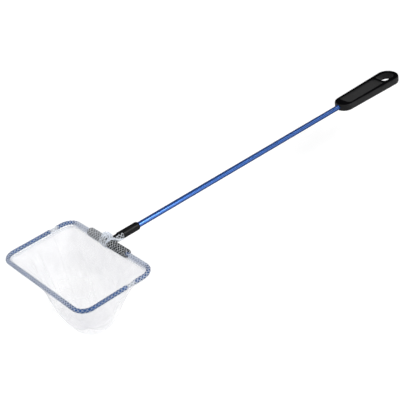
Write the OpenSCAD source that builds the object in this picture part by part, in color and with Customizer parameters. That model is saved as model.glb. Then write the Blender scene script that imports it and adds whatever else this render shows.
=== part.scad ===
// Aquarium fish net: a wire hoop with a fine mesh bag, a T connector, a tube and a paddle grip.
// Millimetres, +Z up. The origin is the middle of the hang hole in the grip, the tube runs along X,
// the net lies towards -X and the bag hangs down.

/* [Hoop] */
// Width of the hoop across the tube, between wire centres
hoop_w = 152; // [130:1:240]
// Length of the hoop along the tube, between wire centres
hoop_l = 92; // [80:1:180]
// Corner radius of the hoop at the wire's centre
corner_r = 14; // [12:0.5:20]
// Distance by which the hoop sits to the right of the tube's line
hoop_shift = 3.5; // [0:0.5:5]
// Diameter of the steel wire
wire_d = 2.4; // [1.8:0.1:3]
// Outer diameter of the blue sleeves on the wire
sleeve_d = 4.4; // [4:0.1:5.4]
// Running clearance between the wire and whatever is slid over it
wire_clearance = 0.1; // [0.05:0.01:0.2]
// Straight length of the rear left sleeve, from the corner to the gap
left_tail_l = 6; // [4:0.5:14]
// Straight length of the rear right sleeve, from the corner to the gap
right_tail_l = 12; // [4:0.5:14]
// Length of each gap between two sleeves
sleeve_gap = 10; // [4:0.5:12]

/* [Mesh bag] */
// Depth of the bag below the wire
bag_depth = 96; // [70:1:160]
// Sideways lean of the bag's bottom
bag_sway = 10; // [-12:1:12]
// Thickness of the bag's wall
bag_wall = 1.4; // [1:0.1:2.2]
// Thickness of the hem casing round the sleeves
hem_t = 0.3; // [0.2:0.05:0.5]
// Depth of the stitched band below the hem casing
hem_band = 3.2; // [2.4:0.1:6]
// Thickness of the stitched band
hem_band_t = 0.9; // [0.6:0.1:1.4]
// Diameter of the hem's stitching thread
thread_d = 0.6; // [0.4:0.05:0.9]
// Diameter of the rolled seam that joins the two panels
seam_d = 1.6; // [1:0.1:2.4]
// Clearance between a soft piece and its neighbour
soft_gap = 0.3; // [0.2:0.05:0.5]

/* [T connector] */
// Diameter of the T's arms
arm_d = 10; // [8.5:0.1:12]
// Length of the T from the end of one arm to the end of the other
arm_span = 67; // [60:1:90]
// Length of solid plastic between the two wire sockets
socket_web = 12; // [8:1:20]
// Diameter of the T's stem
stem_d = 8.2; // [7.6:0.1:9]
// Distance from the wire to the coupler along the stem
stem_l = 13.5; // [12:0.1:24]
// Length of the spigot that the stem puts into the coupler
spigot_l = 13; // [8:0.5:18]
// Thickness of the mesh that is gathered round the stem
wrap_t = 1.2; // [0.8:0.1:1.8]

/* [Tube and coupler] */
// Outer diameter of the tube
rod_d = 6.35; // [5.6:0.05:7]
// Wall thickness of the tube
rod_wall = 0.8; // [0.5:0.1:1.2]
// Length of tube that shows between the coupler and the grip
rod_visible = 331.5; // [120:0.5:600]
// Clearance of the tube and the spigot in their sockets
socket_clearance = 0.05; // [0.02:0.01:0.1]
// Diameter of the coupler
coupler_d = 9.6; // [9.1:0.1:12]
// Length of the coupler
coupler_l = 28; // [24:0.5:50]
// Length over which the coupler rounds off towards the tube
coupler_nose_l = 2; // [1:0.5:12]

/* [Grip] */
// Length of the grip
grip_l = 112.5; // [96:0.5:160]
// Width of the grip at the tube
grip_near_w = 25.5; // [20:0.5:28]
// Width of the grip at the hang hole
grip_far_w = 30.5; // [24:0.5:36]
// Thickness of the grip
grip_t = 9.6; // [9:0.1:14]
// Radius of the rounding along the grip's edges
grip_edge_r = 2.4; // [1:0.1:3]
// Depth of the recessed panel in each face
panel_depth = 0.9; // [0.3:0.1:1]
// Width of the rim beside the recessed panel
panel_rim = 3; // [3:0.1:5]
// Distance from the grip's near end to the panel
panel_start = 11.5; // [8:0.5:20]
// Length of the land between the panel and the hang hole
panel_land = 1.7; // [1:0.1:20]
// Length of the hang hole along the grip
hole_l = 24; // [20:0.5:30]
// Width of the rim round the hang hole
hole_rim = 6.2; // [3.4:0.1:7]
// Radius of the hang hole's two near corners
hole_corner_r = 5; // [3:0.5:6]
// Depth of the tube's socket in the grip
rod_socket = 45; // [20:1:60]

/* [Hidden] */
$fn = 48;

// One overrun serves every cut
overrun = rod_d / 6;

// Colours
black_plastic = "#1c1c1e";
blue_metal = "#1f5fae";
blue_vinyl = "#3c6aa8";
steel = "#b9bcc0";
mesh_white = "#f2f2f6";

// Places along X, worked out from the hang hole
grip_far_r = grip_far_w / 2;
grip_near_r = grip_near_w / 2;
hole_w = grip_far_w - 2 * hole_rim;
grip_end_x = hole_l / 2 + hole_rim;
grip_start_x = grip_end_x - grip_l;
coupler_end_x = grip_start_x - rod_visible;
rear_x = coupler_end_x - coupler_l - stem_l;

// The recessed panel and the faces of the grip
panel_x = grip_start_x + panel_start;
panel_l = -hole_l / 2 - panel_land - panel_x;
panel_w = grip_near_w - 2 * panel_rim;
face_trim = grip_edge_r / 8;

// Diameters of the hem, worked out from what it wraps
hem_in_d = sleeve_d + 2 * wire_clearance;
hem_d = hem_in_d + 2 * hem_t;
arm_hem_in_d = arm_d + 2 * wire_clearance;
arm_hem_d = arm_hem_in_d + 2 * hem_t;
arm_half = arm_span / 2;
cuff_l = hem_d;
wire_bore_d = wire_d + 2 * wire_clearance;
wire_end_y = socket_web / 2;
stem_half = stem_d / 2;

// The coupler's bore, its wall and how far that is rounded off at each end
coupler_nose_share = 0.8;
socket_d = rod_d + 2 * socket_clearance;
coupler_wall = (coupler_d - socket_d) / 2;
coupler_nose_drop = coupler_wall * coupler_nose_share;
coupler_heel_r = coupler_wall / 2;
coupler_nose_r = (pow(coupler_nose_l, 2) + pow(coupler_nose_drop, 2)) / (2 * coupler_nose_drop);

// Distances from the rear wire to the start of each gap, and to the seam between the two panels
left_gap_x = corner_r + left_tail_l;
right_gap_x = corner_r + right_tail_l;
seam_x = (left_gap_x + right_gap_x + sleeve_gap) / 2;

// The bag's rim
bag_top_z = max(arm_hem_d / 2, hem_d / 2 + hem_band) + soft_gap;
rim_inset = hem_d / 2 - hem_band_t / 2;
rim_a = hoop_l / 2 - rim_inset + bag_wall / 2;
rim_b = hoop_w / 2 - rim_inset + bag_wall / 2;
rim_r = corner_r - rim_inset + bag_wall / 2;
bag_h = bag_depth - bag_top_z;

// Shares of the bag's depth: where its corners have rounded off, and where its seam ends
round_off_share = 0.17;
seam_end_share = 0.985;

// Power by which the bag narrows towards its bottom; half is a paraboloid
bottom_power = 0.48;

// Counts of faces along the bag's rim and depth and along its seam
corner_steps = 5;
side_steps = 5;
depth_rings = 13;
seam_rings = 18;
seam_sides = 6;
// Angle on each side of a corner of the rim within which the faces are closer together
corner_spread = 10;

// A tube along +Z from the origin
module pipe(od, id, len) {
    difference() {
        cylinder(d = od, h = len);
        translate([0, 0, -overrun]) cylinder(d = id, h = len + 2 * overrun);
    }
}

// The section of something slid over the wire, drawn with the hoop's outside towards +X
module ring_section(od, id) {
    difference() {
        circle(d = od);
        circle(d = id);
    }
}

// The section of the stitched band below the casing, on the hoop's inner side; its top ends
// inside the casing's wall
module band_section() {
    wall_r = (hem_d + hem_in_d) / 4;
    top_z = -sqrt(pow(wall_r, 2) - pow(hem_d / 2 - hem_band_t, 2));
    bottom_z = -hem_d / 2 - hem_band;
    translate([-hem_d / 2, bottom_z]) square([hem_band_t, top_z - bottom_z]);
}

// The section of the stitching thread, on the inside of the stitched band
module thread_section() {
    translate([-hem_d / 2 - thread_d / 2, -hem_d / 2 - hem_band / 2]) circle(d = thread_d);
}

// One straight run of the section along a side of the hoop, from one place to another.
// The side at +Y, with its outside towards +Y; x0 and x1 are distances from the rear wire.
module side_run(x0, x1) {
    translate([-x1, hoop_w / 2, 0]) rotate([90, 0, 90]) linear_extrude(height = x1 - x0) children();
}

// One straight run along the front or rear side, with its outside towards -X or +X
module cross_run(x, y0, y1, outward) {
    translate([x, y1, 0]) rotate([90, 0, 0]) linear_extrude(height = y1 - y0)
        mirror([outward < 0 ? 1 : 0, 0]) children();
}

// One corner of the hoop, from the given angle through a right angle
module corner(cx, cy, from) {
    translate([cx, cy, 0]) rotate([0, 0, from]) rotate_extrude(angle = 90)
        translate([corner_r, 0]) children();
}

// The front half of the hoop, from a place on the left side round to a place on the right side
module front_run(left_x, right_x) {
    side_run(left_x, hoop_l - corner_r) children();
    corner(corner_r - hoop_l, hoop_w / 2 - corner_r, 90) children();
    cross_run(-hoop_l, corner_r - hoop_w / 2, hoop_w / 2 - corner_r, -1) children();
    corner(corner_r - hoop_l, corner_r - hoop_w / 2, 180) children();
    mirror([0, 1, 0]) side_run(right_x, hoop_l - corner_r) children();
}

// The rear left quarter of the hoop, from a place on the left side round to a place on the rear side
module rear_run(side_x, rear_y) {
    side_run(corner_r, side_x) children();
    corner(-corner_r, hoop_w / 2 - corner_r, 0) children();
    cross_run(0, rear_y, hoop_w / 2 - corner_r, 1) children();
}

// Everything but the grip is placed from the rear wire; the hoop sits to one side of the tube's line
module at_rear_wire() { translate([rear_x, 0, 0]) children(); }

module at_hoop() { translate([rear_x, -hoop_shift, 0]) children(); }

// A distance from the tube's line along the rear side, as a distance from the hoop's middle;
// side is 0 on the left and 1 on the right
function from_hoop_middle(y, side) = side == 0 ? y + hoop_shift : y - hoop_shift;

// Grip

// A round disc with rounded edges, a little thicker than the grip
module grip_disc(r) {
    t = grip_t + 2 * face_trim;
    rotate_extrude($fn = 32) {
        translate([0, -t / 2]) square([r - grip_edge_r, t]);
        translate([0, grip_edge_r - t / 2]) square([r, t - 2 * grip_edge_r]);
        for (side = [-1, 1])
            translate([r - grip_edge_r, side * (t / 2 - grip_edge_r)]) circle(r = grip_edge_r, $fn = 24);
    }
}

// The grip's outside: two discs joined, then trimmed flat on both faces
module grip_body() {
    intersection() {
        hull() {
            translate([grip_start_x + grip_near_r, 0, 0]) grip_disc(grip_near_r);
            translate([grip_end_x - grip_far_r, 0, 0]) grip_disc(grip_far_r);
        }
        translate([grip_start_x - overrun, -grip_far_w, -grip_t / 2])
            cube([grip_l + 2 * overrun, 2 * grip_far_w, grip_t]);
    }
}

// The outline of the hang hole, round at the far end and blunt at the near end
module hole_outline() {
    near_x = hole_corner_r - hole_l / 2;
    far_x = (hole_l - hole_w) / 2;
    corner_y = hole_w / 2 - hole_corner_r;
    translate([far_x, 0]) circle(d = hole_w);
    translate([near_x, -hole_w / 2]) square([far_x - near_x, hole_w]);
    translate([-hole_l / 2, -corner_y]) square([hole_corner_r, 2 * corner_y]);
    for (side = [-1, 1]) translate([near_x, side * corner_y]) circle(r = hole_corner_r);
}

// The outline of the recessed panel, with round corners
module panel_outline() {
    panel_r = panel_w / 4;
    translate([panel_r, -panel_w / 2]) square([panel_l - 2 * panel_r, panel_w]);
    translate([0, panel_r - panel_w / 2]) square([panel_l, panel_w - 2 * panel_r]);
    for (x = [panel_r, panel_l - panel_r], side = [-1, 1])
        translate([x, side * (panel_w / 2 - panel_r)]) circle(r = panel_r);
}

module grip() {
    color(black_plastic) difference() {
        grip_body();
        translate([0, 0, -grip_t]) linear_extrude(height = 2 * grip_t) hole_outline();
        for (side = [0, 1])
            mirror([0, 0, side]) translate([panel_x, 0, grip_t / 2 - panel_depth])
                linear_extrude(height = grip_t) panel_outline();
        translate([grip_start_x - overrun, 0, 0]) rotate([0, 90, 0])
            cylinder(d = socket_d, h = rod_socket + overrun);
    }
}

// Tube, coupler and T connector

module rod() {
    color(blue_metal) at_rear_wire() translate([stem_l + spigot_l, 0, 0]) rotate([0, 90, 0])
        pipe(rod_d, rod_d - 2 * rod_wall, coupler_l - spigot_l + rod_visible + rod_socket);
}

// The coupler's outline: a small heel at the T's end, a straight side and a long round nose
module coupler_outline() {
    nose_start = coupler_l - coupler_nose_l;
    translate([0, coupler_heel_r]) square([coupler_d / 2, nose_start - coupler_heel_r]);
    square([coupler_d / 2 - coupler_heel_r, coupler_heel_r]);
    translate([coupler_d / 2 - coupler_heel_r, coupler_heel_r]) circle(r = coupler_heel_r);
    intersection() {
        translate([0, nose_start]) square([coupler_d / 2, coupler_nose_l]);
        translate([coupler_d / 2 - coupler_nose_r, nose_start]) circle(r = coupler_nose_r);
    }
}

module coupler() {
    color(black_plastic) at_rear_wire() translate([stem_l, 0, 0]) rotate([0, 90, 0])
        rotate_extrude() difference() {
            coupler_outline();
            translate([-overrun, -overrun]) square([socket_d / 2 + overrun, coupler_l + 2 * overrun]);
        }
}

module t_connector() {
    color(black_plastic) at_rear_wire() difference() {
        union() {
            translate([0, arm_half, 0]) rotate([90, 0, 0]) cylinder(d = arm_d, h = arm_span);
            rotate([0, 90, 0]) cylinder(d = stem_d, h = stem_l);
            rotate([0, 90, 0]) cylinder(d = rod_d, h = stem_l + spigot_l);
        }
        for (side = [0, 1])
            mirror([0, side, 0]) translate([0, arm_half + overrun, 0]) rotate([90, 0, 0])
                cylinder(d = wire_bore_d, h = arm_half - wire_end_y + overrun);
    }
}

// Wire and blue sleeves

module frame_wire() {
    color(steel) at_hoop() {
        front_run(left_gap_x, left_gap_x) circle(d = wire_d);
        for (side = [0, 1])
            mirror([0, side, 0]) rear_run(left_gap_x, from_hoop_middle(wire_end_y, side))
                circle(d = wire_d);
    }
}

module front_sleeve() {
    color(blue_vinyl) at_hoop()
        front_run(left_gap_x + sleeve_gap, right_gap_x + sleeve_gap)
            ring_section(sleeve_d, wire_bore_d);
}

module rear_left_sleeve() {
    color(blue_vinyl) at_hoop()
        rear_run(left_gap_x, from_hoop_middle(arm_half, 0)) ring_section(sleeve_d, wire_bore_d);
}

module rear_right_sleeve() {
    color(blue_vinyl) at_hoop() mirror([0, 1, 0])
        rear_run(right_gap_x, from_hoop_middle(arm_half, 1)) ring_section(sleeve_d, wire_bore_d);
}

// Hem casings

module front_hem() {
    color(mesh_white) at_hoop() front_run(seam_x, seam_x) {
        ring_section(hem_d, hem_in_d);
        band_section();
    }
}

// The casing round a rear corner, the cuff where it widens, and the wider casing over the T's arm
module rear_hem(side) {
    arm_y = from_hoop_middle(arm_half, side);
    rear_run(seam_x, arm_y + cuff_l) {
        ring_section(hem_d, hem_in_d);
        band_section();
    }
    translate([0, arm_y + cuff_l, 0]) rotate([90, 0, 0]) difference() {
        cylinder(d1 = hem_d, d2 = arm_hem_d, h = cuff_l);
        cylinder(d1 = hem_in_d, d2 = arm_hem_in_d, h = cuff_l);
    }
    translate([0, arm_y, 0]) rotate([90, 0, 0])
        pipe(arm_hem_d, arm_hem_in_d, arm_half - stem_half - wrap_t);
}

module rear_left_hem() { color(mesh_white) at_hoop() rear_hem(0); }

module rear_right_hem() { color(mesh_white) at_hoop() mirror([0, 1, 0]) rear_hem(1); }

// One thread round the front casing and one along each rear casing
module hem_stitching() {
    color(mesh_white) at_hoop() {
        front_run(seam_x + thread_d, seam_x + thread_d) thread_section();
        for (side = [0, 1])
            mirror([0, side, 0]) rear_run(seam_x - thread_d, from_hoop_middle(arm_half, side) + cuff_l)
                thread_section();
    }
}

// The mesh gathered round the middle of the T and along the lower side of its stem
module neck_wrap() {
    wrap_d = arm_hem_d + 2 * wrap_t;
    band_l = 2 * (stem_half + wrap_t - soft_gap);
    stem_wrap_d = stem_d + 2 * soft_gap;
    stem_wrap_x = arm_hem_d / 2 + soft_gap;
    color(mesh_white) at_rear_wire() {
        difference() {
            translate([0, band_l / 2, 0]) rotate([90, 0, 0]) pipe(wrap_d, arm_hem_in_d, band_l);
            rotate([0, 90, 0]) cylinder(d = stem_wrap_d, h = wrap_d);
        }
        difference() {
            translate([stem_wrap_x, 0, 0]) rotate([0, 90, 0])
                pipe(stem_wrap_d + 2 * wrap_t, stem_wrap_d, stem_l - stem_wrap_x - soft_gap);
            translate([wrap_d / 2, 0, 0]) cube([stem_l, stem_d, stem_d]);
        }
    }
}

// Bag

// Distance from the bag's middle to a round-cornered rectangle with half sides a and b, at an angle
function rim_reach(phi, a, b, r) =
    let (c = abs(cos(phi)), s = abs(sin(phi)), px = a - r, py = b - r,
         along = px * c + py * s, off = px * s - py * c)
    a * s <= (b - r) * c ? a / c
    : b * c <= (a - r) * s ? b / s
    : along + sqrt(r * r - off * off);

// Distance from the bag's middle to an ellipse with half sides a and b, at an angle
function oval_reach(phi, a, b) = 1 / sqrt(pow(cos(phi) / a, 2) + pow(sin(phi) / b, 2));

// Width of the bag at a share of its depth, as a share of its rim's width: nearly a paraboloid
function narrowing(t) = pow(1 - t, bottom_power);

// A point of the bag's wall: angle round the bag, share of the depth, inset from the outside
function bag_point(phi, t, inset) =
    let (a = rim_a - inset, b = rim_b - inset,
         blend = 1 - exp(-t / round_off_share),
         reach = rim_reach(phi, a, b, rim_r) * (1 - blend) + oval_reach(phi, a, b) * blend)
    [-hoop_l / 2 + reach * narrowing(t) * cos(phi), reach * narrowing(t) * sin(phi) + bag_sway * t,
     -bag_top_z - (bag_h - inset) * t];

// Angles round the rim from one angle to another, closer together at the corners
corner_mid = atan2(rim_b - rim_r / 3, rim_a - rim_r / 3);
seam_phi = atan2(rim_b, hoop_l / 2 - seam_x);
function spread(a0, a1, n) = [for (i = [0 : n - 1]) a0 + (a1 - a0) * i / n];
rear_angles = concat(
    spread(-seam_phi, -corner_mid - corner_spread, side_steps),
    spread(-corner_mid - corner_spread, -corner_mid + corner_spread, corner_steps),
    spread(-corner_mid + corner_spread, corner_mid - corner_spread, 2 * side_steps),
    spread(corner_mid - corner_spread, corner_mid + corner_spread, corner_steps),
    spread(corner_mid + corner_spread, seam_phi, side_steps),
    [seam_phi]);
front_angles = concat(
    spread(seam_phi, 180 - corner_mid - corner_spread, 2 * side_steps),
    spread(180 - corner_mid - corner_spread, 180 - corner_mid + corner_spread, corner_steps),
    spread(180 - corner_mid + corner_spread, 180 + corner_mid - corner_spread, 2 * side_steps),
    spread(180 + corner_mid - corner_spread, 180 + corner_mid + corner_spread, corner_steps),
    spread(180 + corner_mid + corner_spread, 360 - seam_phi, 2 * side_steps),
    [360 - seam_phi]);

// Shares of the depth of the rings, closer together towards the bottom
depths = [for (j = [0 : depth_rings - 1]) 1 - pow(1 - j / depth_rings, 2)];

// A panel of the bag between the first and last of the angles: outer wall, inner wall, rim and seams
module panel(angles) {
    n = len(angles);
    m = len(depths);
    outer = [for (t = depths, phi = angles) bag_point(phi, t, 0)];
    inner = [for (t = depths, phi = angles) bag_point(phi, t, bag_wall)];
    poles = [bag_point(0, 1, 0), bag_point(0, 1, bag_wall)];
    k = n * m;
    wall = [for (j = [0 : m - 2], i = [0 : n - 2]) let (p = j * n + i, q = p + n)
        each [[p, p + 1, q + 1], [p, q + 1, q], [k + p, k + q + 1, k + p + 1], [k + p, k + q, k + q + 1]]];
    foot = [for (i = [0 : n - 2]) let (p = (m - 1) * n + i)
        each [[p, p + 1, 2 * k], [k + p, 2 * k + 1, k + p + 1]]];
    rim = [for (i = [0 : n - 2]) each [[i, k + i, k + i + 1], [i, k + i + 1, i + 1]]];
    seams = [for (j = [0 : m - 2]) let (p = j * n, q = p + n, s = p + n - 1, u = q + n - 1)
        each [[p, q, k + q], [p, k + q, k + p], [s, k + s, k + u], [s, k + u, u]]];
    tip = let (p = (m - 1) * n, s = p + n - 1)
        [[p, 2 * k, 2 * k + 1], [p, 2 * k + 1, k + p], [s, k + s, 2 * k + 1], [s, 2 * k + 1, 2 * k]];
    polyhedron(points = concat(outer, inner, poles), faces = concat(wall, foot, rim, seams, tip));
}

module bag_front_panel() { color(mesh_white) at_hoop() panel(front_angles); }

module bag_rear_panel() { color(mesh_white) at_hoop() panel(rear_angles); }

// The rolled seam inside the bag, as one bead down each side
module bag_seam() {
    in = bag_wall + seam_d / 2 + soft_gap;
    n = seam_sides;
    color(mesh_white) at_hoop() for (phi = [seam_phi, -seam_phi]) {
        path = [for (j = [0 : seam_rings]) let (t = 1 - pow(1 - j / seam_rings, 2))
            bag_point(phi, t * seam_end_share, in)];
        pts = [for (j = [0 : seam_rings]) let (
            d = path[min(j + 1, seam_rings)] - path[max(j - 1, 0)],
            along = d / norm(d),
            across = [sin(phi), -cos(phi), 0],
            up = cross(along, across))
            for (i = [0 : n - 1])
                path[j] + seam_d / 2 * (across * cos(i * 360 / n) + up * sin(i * 360 / n))];
        body = [for (j = [0 : seam_rings - 1], i = [0 : n - 1])
            let (p = j * n + i, q = j * n + (i + 1) % n)
            each [[p, p + n, q + n], [p, q + n, q]]];
        caps = [[for (i = [0 : n - 1]) i], [for (i = [n - 1 : -1 : 0]) seam_rings * n + i]];
        polyhedron(points = pts, faces = concat(body, caps));
    }
}

grip();
rod();
coupler();
t_connector();
frame_wire();
front_sleeve();
rear_left_sleeve();
rear_right_sleeve();
front_hem();
rear_left_hem();
rear_right_hem();
bag_front_panel();
bag_rear_panel();
bag_seam();
hem_stitching();
neck_wrap();
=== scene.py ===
"""Aquarium fish net: the looks of the net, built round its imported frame.

Metres, +Z up, +X along the tube towards the grip. The origin is the middle of the hang hole.
Lengths given in millimetres are turned into metres by MM. Unless a name says otherwise, lengths in the
classes of the pieces are millimetres and angles are radians.
"""
import logging
import math
from dataclasses import dataclass
from enum import Enum

import bmesh
import bpy
import numpy as np
from mathutils import Matrix, Vector


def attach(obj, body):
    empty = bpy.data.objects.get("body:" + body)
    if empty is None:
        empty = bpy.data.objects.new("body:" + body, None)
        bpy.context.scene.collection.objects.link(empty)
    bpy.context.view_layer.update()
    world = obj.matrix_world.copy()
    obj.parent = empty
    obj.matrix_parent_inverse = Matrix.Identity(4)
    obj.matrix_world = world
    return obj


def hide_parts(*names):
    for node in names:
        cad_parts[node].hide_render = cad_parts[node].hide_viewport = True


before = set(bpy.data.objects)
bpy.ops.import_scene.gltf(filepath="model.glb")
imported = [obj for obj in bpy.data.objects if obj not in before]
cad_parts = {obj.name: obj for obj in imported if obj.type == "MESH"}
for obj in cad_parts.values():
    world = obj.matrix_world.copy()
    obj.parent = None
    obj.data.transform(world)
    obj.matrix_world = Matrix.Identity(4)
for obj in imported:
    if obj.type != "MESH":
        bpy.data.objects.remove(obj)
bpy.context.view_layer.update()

LOG = logging.getLogger("fish_net")
MM = 0.001
TINY = 1e-9
TURN = 2 * math.pi
REAR_X = -467.3
HOOP_Y = -3.5
BODY = "root"

Colour = tuple[float, float, float, float]
Pair = tuple[float, float]
Triple = tuple[float, float, float]
Material = bpy.types.Material
Piece = bpy.types.Object
Socket = bpy.types.NodeSocket


class Slot(Enum):
    """The record's material slots, one for each kind of piece made here."""

    MESH = "white_mesh"
    THREAD = "white_thread"


# Curves and fields


def ramp(x: np.ndarray | float, low: float, high: float) -> np.ndarray:
    """Rises smoothly from 0 at low to 1 at high: 3t^2 - 2t^3."""
    t = np.clip((np.asarray(x, float) - low) / (high - low), 0, 1)
    return t * t * (3 - 2 * t)


def bell(x: np.ndarray) -> np.ndarray:
    """A bell curve of height 1: e^(-x^2)."""
    return np.exp(-(x**2))


def hump(x: np.ndarray, rise: Pair, fall: Pair) -> np.ndarray:
    """Rises smoothly from 0 to 1 over one range and falls back to 0 over another."""
    return ramp(x, *rise) * (1 - ramp(x, *fall))


def lengths(points: np.ndarray, axis: int) -> np.ndarray:
    """Distance along a grid of points in one direction: the sum of the steps so far.

    Args:
        points: grid of places in millimetres.
        axis: the grid's direction.

    Returns:
        The distance at each point in metres, starting at 0.
    """
    step = np.linalg.norm(np.diff(points, axis=axis), axis=-1)
    start = np.zeros_like(np.take(step, [0], axis=axis))
    return np.cumsum(np.concatenate([start, step], axis=axis), axis=axis) * MM


def unit(vectors: np.ndarray) -> np.ndarray:
    """Vectors of length 1 in the same directions."""
    return vectors / np.maximum(np.linalg.norm(vectors, axis=-1, keepdims=True), TINY)


def apart(angle: np.ndarray, place: np.ndarray | float) -> np.ndarray:
    """The difference of two angles, from -pi to pi."""
    return np.mod(angle - place + math.pi, TURN) - math.pi


def around(count: int) -> np.ndarray:
    """Angles of a circle's points, without the one that closes it."""
    return np.linspace(0, TURN, count, endpoint=False)


@dataclass(frozen=True)
class Ripple:
    """A smooth uneven field: a sum of sines with seeded directions and phases, within about its height.

    across and upward scale the two places, and the n-th sine has an n-th of the first one's weight. FIRST
    and SECOND are what the sines' own scales are drawn from.
    """

    FIRST = (0.4, 1.6)
    SECOND = (-1.0, 1.0)

    height: float
    across: float
    upward: float
    waves: int
    seed: int

    def at(self, x: np.ndarray, y: np.ndarray) -> np.ndarray:
        """The field's values.

        Args:
            x: places in the first direction.
            y: places in the second direction.

        Returns:
            A value for each pair of places.
        """
        x, y = x * self.across, y * self.upward
        rng = np.random.default_rng(self.seed)
        first = rng.uniform(*self.FIRST, self.waves)
        second = rng.uniform(*self.SECOND, self.waves)
        phase = rng.uniform(0, TURN, self.waves)
        weight = 1 / np.arange(1, self.waves + 1)
        total = sum(w * np.sin(a * x + b * y + c) for w, a, b, c in zip(weight, first, second, phase))
        return self.height * (total / weight.sum())


def smooth_curve(at: np.ndarray, values: np.ndarray, fine: np.ndarray) -> np.ndarray:
    """A smooth curve through a few values: cubic pieces, each with its neighbours' slope at its ends.

    Args:
        at: places of the values, in rising order.
        values: the values there.
        fine: places at which the curve is wanted.

    Returns:
        The curve's values at those places.
    """
    slope = np.gradient(values, at)
    k = np.clip(np.searchsorted(at, fine, side="right") - 1, 0, len(at) - 2)
    h = at[k + 1] - at[k]
    t = (fine - at[k]) / h
    return (
        (2 * t**3 - 3 * t**2 + 1) * values[k]
        + (t**3 - 2 * t**2 + t) * h * slope[k]
        + (3 * t**2 - 2 * t**3) * values[k + 1]
        + (t**3 - t**2) * h * slope[k + 1]
    )


def section_along(centre: np.ndarray, side: np.ndarray, up: np.ndarray, section: np.ndarray) -> np.ndarray:
    """Carries a section along a path: point = centre + side * section's first number + up * its second.

    Args:
        centre: (n, 3) points of the path.
        side: (n, 3) first axis of the section at each point.
        up: (n, 3) second axis of the section at each point.
        section: (m, 2), or (n, m, 2) where the section changes along the path.

    Returns:
        (n, m, 3) points.
    """
    flat = np.broadcast_to(section, (len(centre),) + section.shape[-2:])
    return centre[:, None] + flat[..., :1] * side[:, None] + flat[..., 1:] * up[:, None]


# Meshes

CELL_CORNERS = ((0, 0), (1, 0), (1, 1), (0, 1))
OPEN_ROUND = (False, True)


def grid_cells(n: int, m: int, closed: tuple[bool, bool]) -> tuple[np.ndarray, np.ndarray]:
    """The cells of a grid of n by m points.

    Args:
        n: points in the first direction.
        m: points in the second direction.
        closed: whether the grid closes on itself in each.

    Returns:
        Row and column of the first corner of each cell.
    """
    rows = np.arange(n if closed[0] else n - 1)
    columns = np.arange(m if closed[1] else m - 1)
    return tuple(np.meshgrid(rows, columns, indexing="ij"))


def grid_quads(n: int, m: int, closed: tuple[bool, bool]) -> np.ndarray:
    """One quad between each four neighbours of a grid: corner number = row * m + column.

    Args:
        n: points in the first direction.
        m: points in the second direction.
        closed: whether the grid closes on itself in each.

    Returns:
        (quads, 4) point numbers.
    """
    i, j = grid_cells(n, m, closed)
    corners = [((i + a) % n) * m + (j + b) % m for a, b in CELL_CORNERS]
    return np.stack(corners, axis=-1).reshape(-1, 4)


def merge_points(mesh: bpy.types.Mesh, distance: float, face_out: bool = False) -> None:
    """Merges the points of a mesh that lie together.

    Args:
        mesh: the mesh.
        distance: how near they lie, in millimetres.
        face_out: whether its faces are then turned outwards.
    """
    work = bmesh.new()
    work.from_mesh(mesh)
    bmesh.ops.remove_doubles(work, verts=work.verts, dist=distance * MM)
    if face_out:
        bmesh.ops.recalc_face_normals(work, faces=work.faces)
    work.to_mesh(mesh)
    work.free()


def add_piece(mesh: bpy.types.Mesh) -> Piece:
    """Puts a finished mesh into the scene as a smooth piece.

    Args:
        mesh: the mesh, in place.

    Returns:
        The piece, at the origin and with the mesh's name.
    """
    mesh.shade_smooth()
    piece = bpy.data.objects.new(mesh.name, mesh)
    bpy.context.scene.collection.objects.link(piece)
    return piece


def surface(
    name: str,
    points: np.ndarray,
    uv: np.ndarray | None = None,
    closed: tuple[bool, bool] = (False, False),
    cover: np.ndarray | None = None,
    weld: float = 0.0,
) -> Piece:
    """Makes a piece from a grid of points.

    Args:
        name: the piece's name.
        points: (n, m, 3) in millimetres, in the part's frame.
        uv: one (u, v) in metres for each corner of the grid, with one column more where it is closed.
        closed: whether the grid closes on itself in its first and second direction.
        cover: what each point adds to the share that the cloth hides.
        weld: points nearer than this many millimetres are merged, as at a pole.

    Returns:
        The piece, at the origin.
    """
    n, m = points.shape[:2]
    mesh = bpy.data.meshes.new(name)
    mesh.from_pydata((points.reshape(-1, 3) * MM).tolist(), [], grid_quads(n, m, closed).tolist())
    if uv is not None:
        i, j = grid_cells(n, m, closed)
        corners = np.stack([uv[i + a, j + b] for a, b in CELL_CORNERS], axis=-2).reshape(-1)
        mesh.uv_layers.new(name="UVMap").data.foreach_set("uv", corners.astype(np.float32))
    if cover is not None:
        attribute = mesh.attributes.new("cover", "FLOAT", "POINT")
        attribute.data.foreach_set("value", cover.reshape(-1).astype(np.float32))
    if weld:
        merge_points(mesh, weld)
    return add_piece(mesh)


def roll(
    name: str,
    path: np.ndarray,
    axes: tuple[np.ndarray, np.ndarray],
    section: np.ndarray,
    girth: float,
    cover: float,
) -> Piece:
    """Makes a roll of cloth: a closed section carried along a path.

    Args:
        name: the piece's name.
        path: (n, 3) points in millimetres.
        axes: the section's two directions at each point.
        section: (n, m, 2) section at each point.
        girth: millimetres of cloth for each radian round the section.
        cover: what the piece adds to the share that the cloth hides.

    Returns:
        The piece.
    """
    points = section_along(path, *axes, section)
    n, m = points.shape[:2]
    v = np.broadcast_to(np.append(around(m), TURN) * girth * MM, (n, m + 1))
    uv = np.stack([np.broadcast_to(lengths(path, 0)[:, None], v.shape), v], -1)
    return surface(name, points, uv, OPEN_ROUND, np.full((n, m), cover))


# Shading


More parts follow.
